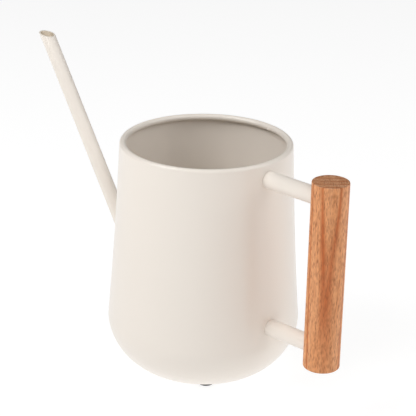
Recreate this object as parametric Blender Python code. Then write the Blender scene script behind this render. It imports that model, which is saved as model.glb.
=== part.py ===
"""An indoor watering can: a coated sheet-steel pot, a long thin spout and an upright beech grip.

The pot is a rolled wall, its lip curled inwards and its foot turned in, butt-welded to a pressed
base pan. The spout is a tube welded over a hole in the wall. Two short tubes welded to the wall on
the other side end in blind bores in the grip, where they are glued. Four rubber feet are stuck
under the pan.

Metres, +Z up. The origin is on the floor, under the middle of the can's overall box. The handle
points to +X and the spout to -X.
"""
import math

import bmesh
import bpy
from mathutils import Matrix, Vector

MM = 0.001
GAP = 0.3 * MM                       # clearance between pieces that touch

# Pot
POT_RADIUS = 52.1 * MM               # outside, at its widest, just above the turned-in foot
POT_HEIGHT = 130.6 * MM              # floor to the top of the lip
LIP_RADIUS = 45.75 * MM              # outside of the wall where the lip starts
SHEET = 0.8 * MM                     # thickness of the wall and of the pan
WALL_LEAN = math.radians(4.9)        # the wall's slope at its foot, which eases off upwards
CURL_RADIUS = 1.8 * MM               # outside radius of the lip's curl
CURL_TURN = math.radians(280.0)      # how far the lip is rolled
KNUCKLE_RADIUS = 19.0 * MM           # bend at the foot of the wall
CORNER_RADIUS = 32.2 * MM            # the pan's broad rounded side
TOE_RADIUS = 12.0 * MM               # the bend from the pan's side to its flat bottom
JOINT_ANGLE = math.radians(11.5)     # where the wall ends and the pan begins
CORNER_END = math.radians(63.0)      # where the broad side meets the toe

# Feet
FOOT_HEIGHT = 2.8 * MM
FOOT_RADIUS = 4.75 * MM
FOOT_TAPER = 0.55 * MM               # how much smaller a foot is at the floor
FOOT_INSET = 0.6 * MM                # from a foot's edge to the edge of the flat bottom
FOOT_BEARING = math.radians(39.0)    # from the line of the handle and spout to a foot
FEET = (("foot_handle_left", FOOT_BEARING), ("foot_spout_left", math.pi - FOOT_BEARING),
        ("foot_spout_right", math.pi + FOOT_BEARING), ("foot_handle_right", -FOOT_BEARING))

# Spout
SPOUT_RADIUS = 4.15 * MM
SPOUT_SHEET = 0.8 * MM
SPOUT_SLOPE = math.radians(55.9)     # above the horizontal
SPOUT_ROOT_HEIGHT = 37.4 * MM        # where its axis leaves the wall
SPOUT_LENGTH = 148.0 * MM            # along the axis, from the wall to the middle of the tip
SPOUT_MITRE = math.radians(42.0)     # the tip's cut, off square

# Handle
GRIP_RADIUS = 9.4 * MM
GRIP_BOTTOM = 32.3 * MM
GRIP_LENGTH = 100.4 * MM
GRIP_CHAMFER = 0.6 * MM
FINGER_ROOM = 25.8 * MM              # from the pot at its widest to the grip
STUB_RADIUS = 4.55 * MM
STUB_SHEET = 1.0 * MM
STUB_INSET = 10.0 * MM               # from an end of the grip to where a stub's axis meets its own
LOWER_STUB_TILT = math.radians(3.5)  # how much each stub rises on its way to the grip
UPPER_STUB_TILT = math.radians(1.4)
STUB_DEPTH = 10.0 * MM               # how far a stub reaches into the grip

# Facets
POT_SEGMENTS = 48
GRIP_SEGMENTS = 32
TUBE_SEGMENTS = 24
INSIDE_START = 15.0 * MM             # how far inside the pot a tube starts before it is trimmed

# Where the pot's arcs and wall lie, from the floor up
BASE_HEIGHT = FOOT_HEIGHT + GAP
TOE_CENTRE_Z = BASE_HEIGHT + TOE_RADIUS
CORNER_CENTRE_Z = TOE_CENTRE_Z + (CORNER_RADIUS - TOE_RADIUS) * math.sin(CORNER_END)
KNUCKLE_CENTRE_Z = CORNER_CENTRE_Z - (CORNER_RADIUS - KNUCKLE_RADIUS) * math.sin(JOINT_ANGLE)
KNUCKLE_CENTRE_R = POT_RADIUS - KNUCKLE_RADIUS
CORNER_CENTRE_R = KNUCKLE_CENTRE_R - (CORNER_RADIUS - KNUCKLE_RADIUS) * math.cos(JOINT_ANGLE)
TOE_CENTRE_R = CORNER_CENTRE_R + (CORNER_RADIUS - TOE_RADIUS) * math.cos(CORNER_END)
WALL_FOOT_R = KNUCKLE_CENTRE_R + KNUCKLE_RADIUS * math.cos(WALL_LEAN)
WALL_FOOT_Z = KNUCKLE_CENTRE_Z + KNUCKLE_RADIUS * math.sin(WALL_LEAN)
JOINT_HEIGHT = KNUCKLE_CENTRE_Z - KNUCKLE_RADIUS * math.sin(JOINT_ANGLE)
WALL_TOP_Z = POT_HEIGHT - CURL_RADIUS
WALL_RISE = WALL_TOP_Z - WALL_FOOT_Z
WALL_EASE = (LIP_RADIUS - WALL_FOOT_R + math.tan(WALL_LEAN) * WALL_RISE) / WALL_RISE ** 2

# Where the pot's axis stands, so that the can's box is centred on the origin
GRIP_AXIS = POT_RADIUS + FINGER_ROOM + GRIP_RADIUS
HANDLE_REACH = GRIP_AXIS + GRIP_RADIUS


def wall_radius(height):
    """Outside radius of the wall: a slope that eases off as it rises."""
    rise = height - WALL_FOOT_Z
    return WALL_FOOT_R - math.tan(WALL_LEAN) * rise + WALL_EASE * rise ** 2


def wall_slope(height):
    """How far the wall leans in from upright at a height, as an angle."""
    return math.atan(math.tan(WALL_LEAN) - 2.0 * WALL_EASE * (height - WALL_FOOT_Z))


SPOUT_AXIS = Vector((-math.cos(SPOUT_SLOPE), 0.0, math.sin(SPOUT_SLOPE)))
SPOUT_UNDERSIDE = Vector((-math.sin(SPOUT_SLOPE), 0.0, -math.cos(SPOUT_SLOPE)))
SPOUT_ROOT = Vector((-wall_radius(SPOUT_ROOT_HEIGHT), 0.0, SPOUT_ROOT_HEIGHT))
SPOUT_POINT = (SPOUT_ROOT + SPOUT_AXIS * (SPOUT_LENGTH + SPOUT_RADIUS * math.tan(SPOUT_MITRE))
               + SPOUT_UNDERSIDE * SPOUT_RADIUS)
POT_X = (-SPOUT_POINT.x - HANDLE_REACH) / 2.0


def arc(centre_r, centre_z, radius, start, end, steps):
    """Points on an arc; the angle is that of the outward normal, positive below the horizontal."""
    points = []
    for step in range(steps + 1):
        angle = start + (end - start) * step / steps
        points.append((centre_r + radius * math.cos(angle), centre_z - radius * math.sin(angle)))
    return points


def wall_outline(offset, steps=5):
    """The wall from its top to the end of the knuckle, moved outwards by an offset."""
    points = []
    for step in range(steps):
        height = WALL_TOP_Z - WALL_RISE * step / steps
        slope = wall_slope(height) if step else 0.0
        points.append((wall_radius(height) + offset * math.cos(slope),
                       height + offset * math.sin(slope)))
    points += arc(KNUCKLE_CENTRE_R, KNUCKLE_CENTRE_Z, KNUCKLE_RADIUS + offset,
                  -WALL_LEAN, JOINT_ANGLE, 2)
    return points


def pan_outline(offset, start):
    """The pan from its upper edge to the middle of its flat bottom, moved outwards by an offset."""
    points = arc(CORNER_CENTRE_R, CORNER_CENTRE_Z, CORNER_RADIUS + offset, start, CORNER_END, 6)
    points += arc(TOE_CENTRE_R, TOE_CENTRE_Z, TOE_RADIUS + offset, CORNER_END, math.pi / 2, 3)[1:]
    points.append((0.0, BASE_HEIGHT - offset))
    return points


def curl_outline(offset, steps):
    """The lip's curl from its free edge back to the top of the wall, moved outwards by an offset."""
    return arc(LIP_RADIUS - CURL_RADIUS, WALL_TOP_Z, CURL_RADIUS + offset, -CURL_TURN, 0.0, steps)


def link(name, mesh_data):
    """A new object in the scene that holds this mesh."""
    piece = bpy.data.objects.new(name, mesh_data)
    bpy.context.scene.collection.objects.link(piece)
    return piece


def turned(name, outline, segments, closed=True):
    """A solid turned about Z from (radius, height) points; an open outline ends on the axis."""
    shape = bmesh.new()
    verts = [shape.verts.new((radius, 0.0, height)) for radius, height in outline]
    pairs = list(zip(verts, verts[1:]))
    if closed:
        pairs.append((verts[-1], verts[0]))
    edges = [shape.edges.new(pair) for pair in pairs]
    bmesh.ops.spin(shape, geom=verts + edges, cent=(0, 0, 0), axis=(0, 0, 1),
                   angle=2 * math.pi, steps=segments, use_merge=True)
    bmesh.ops.remove_doubles(shape, verts=shape.verts, dist=0.001 * MM)
    bmesh.ops.recalc_face_normals(shape, faces=shape.faces)
    mesh_data = bpy.data.meshes.new(name)
    shape.to_mesh(mesh_data)
    shape.free()
    mesh_data.shade_smooth()
    mesh_data.set_sharp_from_angle(angle=math.radians(35))
    return link(name, mesh_data)


def tube(name, radius, bore, start, end):
    """A tube along Z; a bore of 0 gives a rod."""
    if bore:
        return turned(name, [(radius, end), (radius, start), (bore, start), (bore, end)],
                      TUBE_SEGMENTS)
    return turned(name, [(0.0, end), (radius, end), (radius, start), (0.0, start)],
                  TUBE_SEGMENTS, closed=False)


def placed(piece, axis, across, origin):
    """Lay a piece made along Z on an axis, with its own X turned to a direction square to it."""
    turn = Matrix((across, axis.cross(across), axis)).transposed().to_4x4()
    piece.matrix_world = Matrix.Translation(origin + Vector((POT_X, 0.0, 0.0))) @ turn
    return piece


def cutter(piece):
    """Mark a solid that only cuts others."""
    piece.hide_render = True
    piece.display_type = "WIRE"
    return piece


def cut(piece, tool):
    """Take one solid out of another."""
    boolean = piece.modifiers.new("cut_" + tool.name, "BOOLEAN")
    boolean.operation = "DIFFERENCE"
    boolean.solver = "EXACT"
    boolean.object = tool


def paint(piece, colour, roughness, metallic=0.0):
    """Give a piece a material of its own."""
    material = bpy.data.materials.new(piece.name + "_finish")
    material.use_nodes = True
    shader = material.node_tree.nodes["Principled BSDF"]
    shader.inputs["Base Color"].default_value = (*colour, 1.0)
    shader.inputs["Roughness"].default_value = roughness
    shader.inputs["Metallic"].default_value = metallic
    piece.data.materials.append(material)


CREAM_COAT = (0.80, 0.76, 0.70)
BEECH = (0.62, 0.36, 0.20)
BLACK_RUBBER = (0.02, 0.02, 0.02)
UP = Vector((0.0, 0.0, 1.0))
SIDE = Vector((1.0, 0.0, 0.0))
FLOOR = Vector((0.0, 0.0, 0.0))


def make_pot():
    """The wall with its curled lip, and the pan under it."""
    outside = curl_outline(0.0, 12) + wall_outline(0.0)[1:]
    inside = curl_outline(-SHEET, 8) + wall_outline(-SHEET)[1:]
    wall = placed(turned("body_wall", outside + inside[::-1], POT_SEGMENTS), UP, SIDE, FLOOR)
    pan_start = JOINT_ANGLE + GAP / CORNER_RADIUS
    outline = pan_outline(0.0, pan_start)[::-1] + pan_outline(-SHEET, pan_start)
    pan = placed(turned("base_pan", outline, POT_SEGMENTS, closed=False), UP, SIDE, FLOOR)
    paint(wall, CREAM_COAT, 0.35)
    paint(pan, CREAM_COAT, 0.35)
    return wall, pan


def pot_envelope():
    """The pot's outside, one clearance larger: it trims the tubes that meet the wall."""
    outline = [(0.0, WALL_TOP_Z)] + wall_outline(GAP) + pan_outline(GAP, JOINT_ANGLE)[1:]
    return cutter(placed(turned("pot_envelope", outline, POT_SEGMENTS, closed=False),
                         UP, SIDE, FLOOR))


def make_spout(wall, pan, envelope):
    """The spout tube, its saddle-cut root, its mitred tip, and the hole behind it."""
    bore = SPOUT_RADIUS - SPOUT_SHEET
    spout = tube("spout_tube", SPOUT_RADIUS, bore, -INSIDE_START, SPOUT_LENGTH)
    for vert in spout.data.vertices:
        if vert.co.z > 0.0:
            vert.co.z += vert.co.x * math.tan(SPOUT_MITRE)
    placed(spout, SPOUT_AXIS, SPOUT_UNDERSIDE, SPOUT_ROOT)
    cut(spout, envelope)
    hole = cutter(placed(tube("spout_hole", bore, 0.0, -INSIDE_START, INSIDE_START),
                         SPOUT_AXIS, SPOUT_UNDERSIDE, SPOUT_ROOT))
    cut(wall, hole)
    if SPOUT_ROOT_HEIGHT - SPOUT_RADIUS / math.cos(SPOUT_SLOPE) < JOINT_HEIGHT:
        cut(pan, hole)
    paint(spout, CREAM_COAT, 0.35)


def make_handle(envelope):
    """The upright grip and the two stubs that carry it."""
    top = GRIP_BOTTOM + GRIP_LENGTH
    outline = [(0.0, top), (GRIP_RADIUS - GRIP_CHAMFER, top), (GRIP_RADIUS, top - GRIP_CHAMFER),
               (GRIP_RADIUS, GRIP_BOTTOM + GRIP_CHAMFER),
               (GRIP_RADIUS - GRIP_CHAMFER, GRIP_BOTTOM), (0.0, GRIP_BOTTOM)]
    grip = placed(turned("handle_grip", outline, GRIP_SEGMENTS, closed=False),
                  UP, SIDE, Vector((GRIP_AXIS, 0.0, 0.0)))
    paint(grip, BEECH, 0.55)
    stub_end = STUB_DEPTH - GRIP_RADIUS
    stubs = (("lower", GRIP_BOTTOM + STUB_INSET, LOWER_STUB_TILT),
             ("upper", top - STUB_INSET, UPPER_STUB_TILT))
    for name, height, tilt in stubs:
        along = Vector((math.cos(tilt), 0.0, math.sin(tilt)))
        underside = Vector((math.sin(tilt), 0.0, -math.cos(tilt)))
        meeting = Vector((GRIP_AXIS, 0.0, height))
        reach = GRIP_AXIS - wall_radius(height) + INSIDE_START
        stub = tube(name + "_handle_stub", STUB_RADIUS, STUB_RADIUS - STUB_SHEET,
                    -reach, stub_end)
        placed(stub, along, underside, meeting)
        cut(stub, envelope)
        paint(stub, CREAM_COAT, 0.35)
        bore = tube(name + "_grip_bore", STUB_RADIUS + GAP, 0.0,
                    -2.0 * GRIP_RADIUS, stub_end + GAP)
        cut(grip, cutter(placed(bore, along, underside, meeting)))


def make_feet():
    """Four stick-on bumpers, just inside the edge of the pan's flat bottom."""
    outline = [(0.0, FOOT_HEIGHT), (FOOT_RADIUS, FOOT_HEIGHT), (FOOT_RADIUS, FOOT_TAPER),
               (FOOT_RADIUS - FOOT_TAPER, 0.0), (0.0, 0.0)]
    circle = TOE_CENTRE_R - FOOT_INSET - FOOT_RADIUS
    for name, angle in FEET:
        spot = Vector((circle * math.cos(angle), circle * math.sin(angle), 0.0))
        foot = placed(turned(name, outline, TUBE_SEGMENTS, closed=False), UP, SIDE, spot)
        paint(foot, BLACK_RUBBER, 0.7)


for old in list(bpy.data.objects):
    bpy.data.objects.remove(old)
body_wall, base_pan = make_pot()
trim = pot_envelope()
make_spout(body_wall, base_pan, trim)
make_handle(trim)
make_feet()
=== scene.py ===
"""A small indoor watering can: a powder-coated steel pot, a long thin spout and a beech grip."""
import math

import bmesh
import bpy
from mathutils import Matrix, Vector


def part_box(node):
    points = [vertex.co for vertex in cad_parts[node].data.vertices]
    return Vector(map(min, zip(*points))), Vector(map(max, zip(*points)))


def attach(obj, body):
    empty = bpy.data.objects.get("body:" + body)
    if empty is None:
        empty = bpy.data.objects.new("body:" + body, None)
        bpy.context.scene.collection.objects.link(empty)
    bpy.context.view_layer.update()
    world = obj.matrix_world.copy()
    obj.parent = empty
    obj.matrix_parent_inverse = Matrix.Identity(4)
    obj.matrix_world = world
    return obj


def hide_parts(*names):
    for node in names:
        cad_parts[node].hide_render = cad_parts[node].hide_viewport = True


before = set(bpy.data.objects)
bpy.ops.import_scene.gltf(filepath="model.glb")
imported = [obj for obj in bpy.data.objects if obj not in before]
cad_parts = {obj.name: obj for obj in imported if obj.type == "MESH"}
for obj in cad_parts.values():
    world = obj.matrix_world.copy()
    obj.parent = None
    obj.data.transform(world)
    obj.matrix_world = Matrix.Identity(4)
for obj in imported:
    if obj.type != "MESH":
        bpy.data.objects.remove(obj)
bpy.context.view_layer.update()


# ---- Pot wall -------------------------------------------------------------------------------
# Sheet steel rolled into a slightly hollow cone, butt-welded up the side and ground flush. The
# lip is curled inwards over a former and the foot is turned in to meet the pan. The whole can is
# powder-coated after welding, so the coat rounds every edge.
wall_low, wall_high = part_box("body_wall")
pan_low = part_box("base_pan")[0]
pot_x = (wall_low.x + wall_high.x) / 2
pot_radius = (wall_high.y - wall_low.y) / 2
sheet = 0.0008
curl_radius = 0.0018
curl_turn = math.radians(280)
lip_radius = 0.04575
wall_lean = math.radians(4.9)
knuckle_radius = 0.019
corner_radius = 0.0322
toe_radius = 0.012
joint_angle = math.radians(11.5)
corner_end = math.radians(63)
curl_steps = 30
wall_steps = 16
knuckle_steps = 6
pot_segments = 180
crease = math.radians(40)

# The outline's arcs follow each other from the pan's flat bottom up to the lip
toe_z = pan_low.z + toe_radius
corner_z = toe_z + (corner_radius - toe_radius) * math.sin(corner_end)
knuckle_z = corner_z - (corner_radius - knuckle_radius) * math.sin(joint_angle)
knuckle_r = pot_radius - knuckle_radius
corner_r = knuckle_r - (corner_radius - knuckle_radius) * math.cos(joint_angle)
toe_r = corner_r + (corner_radius - toe_radius) * math.cos(corner_end)
wall_foot_r = knuckle_r + knuckle_radius * math.cos(wall_lean)
wall_foot_z = knuckle_z + knuckle_radius * math.sin(wall_lean)
wall_top_z = wall_high.z - curl_radius
curl_r = lip_radius - curl_radius
wall_rise = wall_top_z - wall_foot_z
wall_ease = (lip_radius - wall_foot_r + math.tan(wall_lean) * wall_rise) / wall_rise ** 2


def wall_radius(height):
    """The wall's outside radius: a lean that eases off as it rises."""
    rise = height - wall_foot_z
    return wall_foot_r - math.tan(wall_lean) * rise + wall_ease * rise ** 2


def bend(shape, tip, centre_r, centre_z, angle, steps):
    """Carries an outline's last vertex round an arc, and returns the arc's last vertex."""
    arc = bmesh.ops.spin(shape, geom=[tip], cent=(centre_r, 0, centre_z), axis=(0, 1, 0),
                         angle=angle, steps=steps, use_merge=False)
    return next(part for part in arc["geom_last"] if isinstance(part, bmesh.types.BMVert))


def line_to(shape, tip, radius, height):
    """Carries an outline's last vertex straight to a new place."""
    new = bmesh.ops.extrude_vert_indiv(shape, verts=[tip])["verts"][0]
    new.co = (radius, 0, height)
    return new


def turn_on_axis(shape, segments):
    """Turns an outline drawn at +X into a shape of revolution about Z, facing outwards."""
    bmesh.ops.spin(shape, geom=shape.verts[:] + shape.edges[:], cent=(0, 0, 0), axis=(0, 0, 1),
                   angle=2 * math.pi, steps=segments, use_merge=True)
    bmesh.ops.remove_doubles(shape, verts=shape.verts, dist=1e-6)
    bmesh.ops.recalc_face_normals(shape, faces=shape.faces)


def down_the_wall(shape, tip, grow=0):
    """Carries an outline down the wall's outside and round the knuckle at its foot."""
    for step in range(1, wall_steps + 1):
        height = wall_top_z - wall_rise * step / wall_steps
        tip = line_to(shape, tip, wall_radius(height) + grow, height)
    return bend(shape, tip, knuckle_r, knuckle_z, wall_lean + joint_angle, knuckle_steps)


def face_outwards(shape, way):
    """Turns an open shell's faces over if the one furthest that way looks inwards."""
    outermost = max(shape.faces, key=lambda face: face.calc_center_median().dot(way))
    if outermost.normal.dot(way) < 0:
        bmesh.ops.reverse_faces(shape, faces=shape.faces)


def as_piece(name, shape):
    """Puts a finished shape in the scene as a smooth-shaded object."""
    data = bpy.data.meshes.new(name)
    shape.to_mesh(data)
    shape.free()
    data.shade_smooth()
    data.set_sharp_from_angle(angle=crease)
    piece = bpy.data.objects.new(name, data)
    bpy.context.scene.collection.objects.link(piece)
    return piece


def settle(piece, sharp_angle=crease):
    """Bakes a piece's modifiers into its mesh."""
    bpy.context.view_layer.update()
    evaluated = piece.evaluated_get(bpy.context.evaluated_depsgraph_get())
    piece.data = bpy.data.meshes.new_from_object(evaluated)
    piece.modifiers.clear()
    piece.data.shade_smooth()
    piece.data.set_sharp_from_angle(angle=sharp_angle)


def give_thickness(piece):
    """Makes sheet metal of a surface, inwards from its outside."""
    thick = piece.modifiers.new("sheet", "SOLIDIFY")
    thick.thickness = sheet
    thick.offset = -1
    thick.use_even_offset = True
    settle(piece)


def cut_away(piece, tool):
    """Takes one solid out of another and drops the tool."""
    cut = piece.modifiers.new("cut", "BOOLEAN")
    cut.operation = "DIFFERENCE"
    cut.solver = "EXACT"
    cut.object = tool
    settle(piece)
    bpy.data.objects.remove(tool)


def coat_group():
    """Powder coat: a faint drift of shade and a fine orange peel."""
    group = bpy.data.node_groups.new("powder_coat", "ShaderNodeTree")
    group.interface.new_socket("Colour", in_out="INPUT", socket_type="NodeSocketColor")
    group.interface.new_socket("Drift", in_out="INPUT", socket_type="NodeSocketFloat")
    group.interface.new_socket("Colour", in_out="OUTPUT", socket_type="NodeSocketColor")
    group.interface.new_socket("Height", in_out="OUTPUT", socket_type="NodeSocketFloat")
    nodes, links = group.nodes, group.links
    given = nodes.new("NodeGroupInput")
    result = nodes.new("NodeGroupOutput")
    place = nodes.new("ShaderNodeTexCoord")
    slow = nodes.new("ShaderNodeTexNoise")
    slow.inputs["Scale"].default_value = 45
    slow.inputs["Detail"].default_value = 3
    links.new(place.outputs["Object"], slow.inputs["Vector"])
    peel = nodes.new("ShaderNodeTexNoise")
    peel.inputs["Scale"].default_value = 1100
    peel.inputs["Detail"].default_value = 2
    links.new(place.outputs["Object"], peel.inputs["Vector"])
    shade = nodes.new("ShaderNodeMapRange")
    shade.inputs["To Min"].default_value = -0.5
    shade.inputs["To Max"].default_value = 0.5
    links.new(slow.outputs["Fac"], shade.inputs["Value"])
    amount = nodes.new("ShaderNodeMath")
    amount.operation = "MULTIPLY_ADD"
    amount.inputs[2].default_value = 1.0
    links.new(shade.outputs["Result"], amount.inputs[0])
    links.new(given.outputs["Drift"], amount.inputs[1])
    tint = nodes.new("ShaderNodeVectorMath")
    tint.operation = "SCALE"
    links.new(given.outputs["Colour"], tint.inputs[0])
    links.new(amount.outputs[0], tint.inputs["Scale"])
    links.new(tint.outputs["Vector"], result.inputs["Colour"])
    links.new(peel.outputs["Fac"], result.inputs["Height"])
    return group


def coat_material(name, colour):
    """Semi-gloss powder coat in one colour."""
    material = bpy.data.materials.new(name)
    material.use_nodes = True
    nodes, links = material.node_tree.nodes, material.node_tree.links
    shader = nodes["Principled BSDF"]
    coat = nodes.new("ShaderNodeGroup")
    coat.node_tree = bpy.data.node_groups.get("powder_coat") or coat_group()
    coat.inputs["Colour"].default_value = (*colour, 1)
    coat.inputs["Drift"].default_value = 0.008
    bump = nodes.new("ShaderNodeBump")
    bump.inputs["Strength"].default_value = 0.04
    bump.inputs["Distance"].default_value = 0.0001
    links.new(coat.outputs["Colour"], shader.inputs["Base Color"])
    links.new(coat.outputs["Height"], bump.inputs["Height"])
    links.new(bump.outputs["Normal"], shader.inputs["Normal"])
    shader.inputs["Roughness"].default_value = 0.28
    return material


cream = (0.89, 0.822, 0.745)
shape = bmesh.new()
free_edge = shape.verts.new((curl_r + curl_radius * math.cos(curl_turn), 0,
                             wall_top_z + curl_radius * math.sin(curl_turn)))
tip = bend(shape, free_edge, curl_r, wall_top_z, curl_turn, curl_steps)
down_the_wall(shape, tip)
turn_on_axis(shape, pot_segments)
bmesh.ops.translate(shape, verts=shape.verts, vec=(pot_x, 0, 0))
face_outwards(shape, Vector((1, 0, 0)))
wall = as_piece("pot_wall", shape)
give_thickness(wall)

# The wall is pierced where the spout is welded on, to the bore of its tube
spout_low, spout_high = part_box("spout_tube")
spout_radius = (spout_high.y - spout_low.y) / 2
spout_sheet = 0.0008
spout_bore = spout_radius - spout_sheet
spout_slope = math.radians(55.9)
spout_root_z = 0.0374
spout_axis = Vector((-math.cos(spout_slope), 0, math.sin(spout_slope)))
spout_under = Vector((-math.sin(spout_slope), 0, -math.cos(spout_slope)))
spout_root = Vector((pot_x - wall_radius(spout_root_z), 0, spout_root_z))
spout_place = Matrix.Translation(spout_root) @ Matrix(
    (spout_under, spout_axis.cross(spout_under), spout_axis)).transposed().to_4x4()
hole_cutter_length = 0.03
shape = bmesh.new()
bmesh.ops.create_cone(shape, cap_ends=True, segments=64, radius1=spout_bore,
                      radius2=spout_bore, depth=hole_cutter_length)
bmesh.ops.transform(shape, matrix=spout_place, verts=shape.verts)
cut_away(wall, as_piece("spout_hole", shape))
wall.data.materials.clear()
wall.data.materials.append(coat_material("cream_coat_wall", cream))

# A blob of weld is left on the curl where the side seam ends
blob_bearing = math.radians(84)
blob_drop = 0.0003
blob_radius = 0.0007
blob_stretch = (0.8, 1.5, 0.9)
blob_place = (Matrix.Translation((pot_x, 0, wall_top_z)) @ Matrix.Rotation(blob_bearing, 4, "Z")
              @ Matrix.Translation((lip_radius - 2 * curl_radius, 0, -blob_drop)))
shape = bmesh.new()
bmesh.ops.create_icosphere(shape, subdivisions=3, radius=blob_radius)
bmesh.ops.scale(shape, verts=shape.verts, vec=blob_stretch)
bmesh.ops.transform(shape, verts=shape.verts, matrix=blob_place)
weld_blob = as_piece("lip_weld_blob", shape)
weld_blob.data.materials.append(coat_material("cream_coat_weld_blob", cream))
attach(weld_blob, "root")
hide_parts("body_wall")
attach(wall, "root")
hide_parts("body_wall")


# ---- Base pan -------------------------------------------------------------------------------
# A shallow bowl pressed from the same sheet, with a broad rounded side and a flat bottom. It is
# butt-welded to the foot of the wall and the seam is ground flush before coating.
pan_steps = 18
toe_steps = 6
flat_ring_shares = (0.8, 0.5, 0.0)
shape = bmesh.new()
rim = shape.verts.new((corner_r + corner_radius * math.cos(joint_angle), 0,
                       corner_z - corner_radius * math.sin(joint_angle)))
tip = bend(shape, rim, corner_r, corner_z, corner_end - joint_angle, pan_steps)
tip = bend(shape, tip, toe_r, toe_z, math.pi / 2 - corner_end, toe_steps)
for share in flat_ring_shares:
    tip = line_to(shape, tip, toe_r * share, pan_low.z)
turn_on_axis(shape, pot_segments)
bmesh.ops.translate(shape, verts=shape.verts, vec=(pot_x, 0, 0))
face_outwards(shape, Vector((0, 0, -1)))
pan = as_piece("base_pan_pressing", shape)
give_thickness(pan)
pan.data.materials.append(coat_material("cream_coat_pan", cream))
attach(pan, "root")
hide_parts("base_pan")


# ---- Spout ----------------------------------------------------------------------------------
# One straight length of steel tube. Its root is saddle-cut and welded over a hole in the wall, and
# its tip is mitred, so the pouring edge is on the underside.
spout_mitre = math.radians(42)
spout_length = ((spout_high.z - spout_root.z - spout_under.z * spout_radius) / spout_axis.z
                - spout_radius * math.tan(spout_mitre))
tube_segments = 48
saddle_tail = 0.015
saddle_gap = 0.00003
coat_edge = 0.00018
bore_side = spout_radius - 0.7 * spout_sheet
# The colour for the inside of the spout is painted shade, darker and yellower than the coat
# outside
bore_painted_shade = (0.68, 0.58, 0.45)


def pot_solid(grow):
    """The pot's outside as a plain solid, grown a little: it trims what meets the wall."""
    shape = bmesh.new()
    tip = line_to(shape, shape.verts.new((0, 0, wall_top_z)), lip_radius + grow, wall_top_z)
    tip = down_the_wall(shape, tip, grow)
    tip = bend(shape, tip, corner_r, corner_z, corner_end - joint_angle, pan_steps)
    line_to(shape, tip, 0, tip.co.z)
    turn_on_axis(shape, pot_segments)
    bmesh.ops.translate(shape, verts=shape.verts, vec=(pot_x, 0, 0))
    return as_piece("pot_solid", shape)


def open_tube(radius, bore, foot, top):
    """A length of tube along Z, with its ends squared off."""
    shape = bmesh.new()
    start = shape.verts.new((bore, 0, top))
    tip = line_to(shape, start, radius, top)
    tip = line_to(shape, tip, radius, foot)
    tip = line_to(shape, tip, bore, foot)
    shape.edges.new((tip, start))
    turn_on_axis(shape, tube_segments)
    return shape


# The tube's upper end is tilted to its mitre, and the tail at its root is cut off by the pot
shape = open_tube(spout_radius, spout_bore, -saddle_tail, spout_length)
for vert in shape.verts:
    if vert.co.z > 0:
        vert.co.z += vert.co.x * math.tan(spout_mitre)
bmesh.ops.transform(shape, matrix=spout_place, verts=shape.verts)
spout = as_piece("spout", shape)
cut_away(spout, pot_solid(saddle_gap))

# The coat rounds the tube's crisp edges a little
bevel = spout.modifiers.new("eased", "BEVEL")
bevel.width = coat_edge
bevel.segments = 3
bevel.limit_method = "ANGLE"
bevel.angle_limit = crease
settle(spout, math.radians(60))
spout.data.materials.clear()
spout.data.materials.append(coat_material("cream_coat_spout", cream))
# The faces inside the tube are painted darker and yellower: painted shade in the bore
spout.data.materials.append(coat_material("painted_shade_spout_bore", bore_painted_shade))
for face in spout.data.polygons:
    from_root = face.center - spout_root
    off_axis = from_root - spout_axis * from_root.dot(spout_axis)
    if off_axis.length < bore_side:
        face.material_index = 1
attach(spout, "root")
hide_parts("spout_tube")


# ---- Handle stubs ---------------------------------------------------------------------------
# Two short lengths of tube, saddle-cut and welded to the wall opposite the spout. They rise a
# little on their way to the grip, where their outer ends are glued into blind bores.
grip_low, grip_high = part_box("handle_grip")
grip_x = (grip_low.x + grip_high.x) / 2
stub_inset = 0.010
stub_wall = 0.001
stub_places = {}
for name, height, tilt in (("upper_handle_stub", grip_high.z - stub_inset, 1.4),
                           ("lower_handle_stub", grip_low.z + stub_inset, 3.5)):
    stub_low, stub_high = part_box(name)
    stub_radius = (stub_high.y - stub_low.y) / 2
    stub_places[name] = (Matrix.Translation((grip_x, 0, height))
                         @ Matrix.Rotation(math.radians(90 - tilt), 4, "Y"))
    stub_end = stub_high.x - grip_x - stub_radius * math.sin(math.radians(tilt))
    shape = open_tube(stub_radius, stub_radius - stub_wall,
                      pot_x + wall_radius(height) - grip_x - saddle_tail, stub_end)
    bmesh.ops.transform(shape, verts=shape.verts, matrix=stub_places[name])
    stub = as_piece(name.replace("handle_", ""), shape)
    cut_away(stub, pot_solid(saddle_gap))
    stub.data.materials.clear()
    stub.data.materials.append(coat_material("cream_coat_" + stub.name, cream))
    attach(stub, "root")
    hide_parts(name)


# ---- Grip -----------------------------------------------------------------------------------
# A turned bar of steamed beech, sawn square at both ends and lightly chamfered. It is flat-sawn on
# the side towards +X and -Y, so the growth rings show as long arches there.
grip_radius = (grip_high.y - grip_low.y) / 2
grip_chamfer = 0.0006
chamfer_r = grip_radius - grip_chamfer
end_ring_r = grip_radius * 0.6
chamfer_steps = 5
grip_steps = 24
grip_segments = 96
sawn_depth = 0.0003
shape = bmesh.new()
tip = line_to(shape, shape.verts.new((0, 0, grip_high.z)), end_ring_r, grip_high.z)
tip = line_to(shape, tip, chamfer_r, grip_high.z)
tip = bend(shape, tip, chamfer_r, grip_high.z - grip_chamfer, math.pi / 2, chamfer_steps)
length = grip_high.z - grip_low.z - 2 * grip_chamfer
for step in range(1, grip_steps + 1):
    tip = line_to(shape, tip, grip_radius, grip_high.z - grip_chamfer - length * step / grip_steps)
tip = bend(shape, tip, chamfer_r, grip_low.z + grip_chamfer, math.pi / 2, chamfer_steps)
tip = line_to(shape, tip, end_ring_r, grip_low.z)
line_to(shape, tip, 0, grip_low.z)
turn_on_axis(shape, grip_segments)
bmesh.ops.translate(shape, verts=shape.verts, vec=(grip_x, 0, 0))
grip = as_piece("grip", shape)

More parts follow.
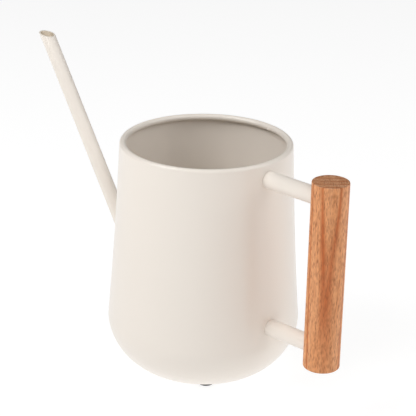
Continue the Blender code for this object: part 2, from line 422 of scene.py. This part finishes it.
# Both bores suit the lower stub, whose sizes stub_radius and stub_end still hold
bore_clearance = 0.00008
bore_end_room = 0.0003
bore_radius = stub_radius + bore_clearance
bore_start = -2 * grip_radius
bore_end = stub_end + bore_end_room
for stub_place in stub_places.values():
    shape = bmesh.new()
    bmesh.ops.create_cone(shape, cap_ends=True, segments=tube_segments, radius1=bore_radius,
                          radius2=bore_radius, depth=bore_end - bore_start)
    bmesh.ops.translate(shape, verts=shape.verts, vec=(0, 0, (bore_end + bore_start) / 2))
    bmesh.ops.transform(shape, verts=shape.verts, matrix=stub_place)
    cut_away(grip, as_piece("bore", shape))


def beech_material(name, centre, half_length):
    """Steamed beech: growth rings about a distant pith, short dark rays and fine pores."""
    ring_bearing = math.radians(-44)
    pith = 0.044
    ring_width = 0.0042
    ring_wander = 0.0016
    ring_lean = 0.015
    ring_strength = 0.75
    streak_strength = 0.3
    ray_scale = (140, 1800, 330)
    ray_strength = 0.45
    pore_strength = 0.42
    fleck_brown = (0.30, 0.085, 0.023)
    sawn_tint = (0.72, 0.80, 0.96)
    material = bpy.data.materials.new(name)
    material.use_nodes = True
    nodes, links = material.node_tree.nodes, material.node_tree.links
    shader = nodes["Principled BSDF"]
    place = nodes.new("ShaderNodeTexCoord")
    centred = nodes.new("ShaderNodeMapping")
    centred.vector_type = "POINT"
    centred.inputs["Location"].default_value = (
        Matrix.Rotation(-ring_bearing, 3, "Z") @ -centre)
    centred.inputs["Rotation"].default_value = (0, 0, -ring_bearing)
    links.new(place.outputs["Object"], centred.inputs["Vector"])

    def noise(scale, detail, stretch):
        stretched = nodes.new("ShaderNodeMapping")
        stretched.inputs["Scale"].default_value = stretch
        links.new(centred.outputs["Vector"], stretched.inputs["Vector"])
        texture = nodes.new("ShaderNodeTexNoise")
        texture.inputs["Scale"].default_value = scale
        texture.inputs["Detail"].default_value = detail
        links.new(stretched.outputs["Vector"], texture.inputs["Vector"])
        return texture.outputs["Fac"]

    def maths(operation, *values):
        node = nodes.new("ShaderNodeMath")
        node.operation = operation
        for socket, value in zip(node.inputs, values):
            if isinstance(value, (int, float)):
                socket.default_value = value
            else:
                links.new(value, socket)
        return node.outputs[0]

    def ramp(value, *stops):
        node = nodes.new("ShaderNodeValToRGB")
        elements = node.color_ramp.elements
        while len(elements) < len(stops):
            elements.new(0.5)
        for element, (position, colour) in zip(elements, stops):
            element.position = position
            element.color = (*colour, 1)
        links.new(value, node.inputs["Fac"])
        return node.outputs["Color"]

    split = nodes.new("ShaderNodeSeparateXYZ")
    links.new(centred.outputs["Vector"], split.inputs["Vector"])
    across = maths("ADD", split.outputs["X"], pith)
    squared = maths("MULTIPLY_ADD", across, across,
                    maths("MULTIPLY", split.outputs["Y"], split.outputs["Y"]))
    distance = maths("SQRT", squared)
    wander = maths("MULTIPLY", noise(scale=30, detail=2, stretch=(1, 1, 0.4)), ring_wander)
    lean = maths("MULTIPLY", split.outputs["Z"], ring_lean)
    depth = maths("ADD", maths("ADD", distance, wander), lean)
    phase = maths("FRACT", maths("DIVIDE", depth, ring_width))
    ring = ramp(phase, (0.0, (0, 0, 0)), (0.7, (0.1, 0.1, 0.1)), (0.87, (1, 1, 1)),
                (0.98, (0, 0, 0)))
    streak = ramp(noise(scale=260, detail=3, stretch=(1, 1, 0.07)),
                  (0.35, (0, 0, 0)), (0.68, (1, 1, 1)))
    warmth = maths("MULTIPLY_ADD", ring, ring_strength,
                   maths("MULTIPLY", streak, streak_strength))
    wood = ramp(warmth, (0.0, (0.90, 0.44, 0.21)), (0.3, (0.80, 0.345, 0.14)),
                (0.9, (0.55, 0.135, 0.03)))

    rays = nodes.new("ShaderNodeTexVoronoi")
    rays.inputs["Scale"].default_value = 1
    shaped = nodes.new("ShaderNodeMapping")
    shaped.inputs["Scale"].default_value = ray_scale
    links.new(centred.outputs["Vector"], shaped.inputs["Vector"])
    links.new(shaped.outputs["Vector"], rays.inputs["Vector"])
    ray = ramp(rays.outputs["Distance"], (0.0, (1, 1, 1)), (0.25, (0.8, 0.8, 0.8)),
               (0.45, (0, 0, 0)))
    pore = ramp(noise(scale=1000, detail=3, stretch=(1, 1, 0.22)),
                (0.38, (0, 0, 0)), (0.66, (1, 1, 1)))
    end_grain = maths("GREATER_THAN", maths("ABSOLUTE", split.outputs["Z"]), half_length)
    darker = nodes.new("ShaderNodeMix")
    darker.data_type = "RGBA"
    darker.inputs["B"].default_value = (*fleck_brown, 1)
    fleck = maths("MULTIPLY_ADD", ray, ray_strength, maths("MULTIPLY", pore, pore_strength))
    links.new(fleck, darker.inputs["Factor"])
    links.new(wood, darker.inputs["A"])
    sawn = nodes.new("ShaderNodeMix")
    sawn.data_type = "RGBA"
    sawn.blend_type = "MULTIPLY"
    sawn.inputs["B"].default_value = (*sawn_tint, 1)
    links.new(end_grain, sawn.inputs["Factor"])
    links.new(darker.outputs["Result"], sawn.inputs["A"])
    links.new(sawn.outputs["Result"], shader.inputs["Base Color"])
    bump = nodes.new("ShaderNodeBump")
    bump.inputs["Strength"].default_value = 0.3
    bump.inputs["Distance"].default_value = 0.0002
    bump.invert = True
    links.new(maths("ADD", ray, pore), bump.inputs["Height"])
    links.new(bump.outputs["Normal"], shader.inputs["Normal"])
    shader.inputs["Roughness"].default_value = 0.55
    shader.inputs["Specular IOR Level"].default_value = 0.4
    return material


grip.data.materials.clear()
grip.data.materials.append(beech_material(
    "oiled_beech", (grip_low + grip_high) / 2, (grip_high.z - grip_low.z) / 2 - sawn_depth))
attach(grip, "root")
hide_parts("handle_grip")


# ---- Feet -----------------------------------------------------------------------------------
# Four small bumpers moulded from black rubber, with a rounded lower edge. Each has a gummed back
# and is stuck to the flat of the pan, so the can stands clear of the table.
foot_round = 0.00055
foot_round_steps = 4
foot_segments = 40
foot_gap = 0.00002


def rubber_material(name):
    """Matt black moulded rubber with a faint bloom."""
    material = bpy.data.materials.new(name)
    material.use_nodes = True
    nodes, links = material.node_tree.nodes, material.node_tree.links
    shader = nodes["Principled BSDF"]
    place = nodes.new("ShaderNodeTexCoord")
    grain = nodes.new("ShaderNodeTexNoise")
    grain.inputs["Scale"].default_value = 900
    grain.inputs["Detail"].default_value = 4
    links.new(place.outputs["Object"], grain.inputs["Vector"])
    colours = nodes.new("ShaderNodeValToRGB")
    colours.color_ramp.elements[0].color = (0.012, 0.012, 0.011, 1)
    colours.color_ramp.elements[1].color = (0.035, 0.035, 0.032, 1)
    links.new(grain.outputs["Fac"], colours.inputs["Fac"])
    links.new(colours.outputs["Color"], shader.inputs["Base Color"])
    bump = nodes.new("ShaderNodeBump")
    bump.inputs["Strength"].default_value = 0.3
    bump.inputs["Distance"].default_value = 0.0001
    links.new(grain.outputs["Fac"], bump.inputs["Height"])
    links.new(bump.outputs["Normal"], shader.inputs["Normal"])
    shader.inputs["Roughness"].default_value = 0.65
    return material


rubber = rubber_material("black_rubber")
for name in ("foot_handle_left", "foot_handle_right", "foot_spout_left", "foot_spout_right"):
    foot_low, foot_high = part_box(name)
    centre = (foot_low + foot_high) / 2
    foot_radius = (foot_high.x - foot_low.x) / 2
    top = pan_low.z - foot_gap
    shape = bmesh.new()
    tip = line_to(shape, shape.verts.new((0, 0, top)), foot_radius, top)
    tip = line_to(shape, tip, foot_radius, foot_round)
    tip = bend(shape, tip, foot_radius - foot_round, foot_round, math.pi / 2, foot_round_steps)
    line_to(shape, tip, 0, 0)
    turn_on_axis(shape, foot_segments)
    bmesh.ops.translate(shape, verts=shape.verts, vec=(centre.x, centre.y, 0))
    foot = as_piece("rubber_" + name, shape)
    foot.data.materials.append(rubber)
    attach(foot, "root")
    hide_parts(name)


# ---- Floor, light and camera ----------------------------------------------------------------
# A plain white floor, five big soft lamps round the can, and the camera. The floor gives off some
# light of its own, so that it stays white and even.
shape = bmesh.new()
bmesh.ops.create_grid(shape, x_segments=1, y_segments=1, size=4)
floor = as_piece("floor", shape)
floor_material = bpy.data.materials.new("floor_white")
floor_material.use_nodes = True
floor_shader = floor_material.node_tree.nodes["Principled BSDF"]
floor_shader.inputs["Base Color"].default_value = (0.25, 0.25, 0.25, 1)
floor_shader.inputs["Roughness"].default_value = 0.9
floor_shader.inputs["Emission Color"].default_value = (1, 1, 1, 1)
floor_shader.inputs["Emission Strength"].default_value = 0.84
floor.data.materials.append(floor_material)

look_at = Vector((pot_x, 0, 0.09219))
lamp_distance = 1.2


def direction(azimuth, elevation):
    """The way to a place round the can; azimuth is counted from -Y towards +X, in degrees."""
    a, e = math.radians(azimuth), math.radians(elevation)
    return Vector((math.sin(a) * math.cos(e), -math.cos(a) * math.cos(e), math.sin(e)))


for name, azimuth, elevation, side, power in (("key", -18, 46, 0.6, 7.4),
                                              ("front", 46, 40, 0.9, 2.2),
                                              ("right", 115, 40, 0.9, 4.2),
                                              ("back_right", 150, 12, 0.9, 2.4),
                                              ("overhead", -30, 70, 0.7, 2.2)):
    towards = direction(azimuth, elevation)
    light = bpy.data.lights.new(name, "AREA")
    light.shape = "SQUARE"
    light.size = side
    light.energy = power
    lamp = bpy.data.objects.new(name, light)
    lamp.location = look_at + towards * lamp_distance
    lamp.rotation_euler = towards.to_track_quat("Z", "Y").to_euler()
    bpy.context.scene.collection.objects.link(lamp)

world = bpy.data.worlds.new("studio")
world.use_nodes = True
world.node_tree.nodes["Background"].inputs["Color"].default_value = (1, 1, 1, 1)
world.node_tree.nodes["Background"].inputs["Strength"].default_value = 0.06
bpy.context.scene.world = world
bpy.context.scene.view_settings.view_transform = "Standard"

back = direction(azimuth=46.01, elevation=21.99)
view_distance = 0.7789
view_roll = math.radians(1.13)
camera_data = bpy.data.cameras.new("camera")
camera_data.lens = 126.11
camera_data.shift_x = 0.00654
camera = bpy.data.objects.new("camera", camera_data)
camera.location = look_at + back * view_distance
camera.rotation_mode = "QUATERNION"
camera.rotation_quaternion = (back.to_track_quat("Z", "Y").to_matrix()
                              @ Matrix.Rotation(view_roll, 3, "Z")).to_quaternion()
bpy.context.scene.collection.objects.link(camera)
bpy.context.scene.camera = camera
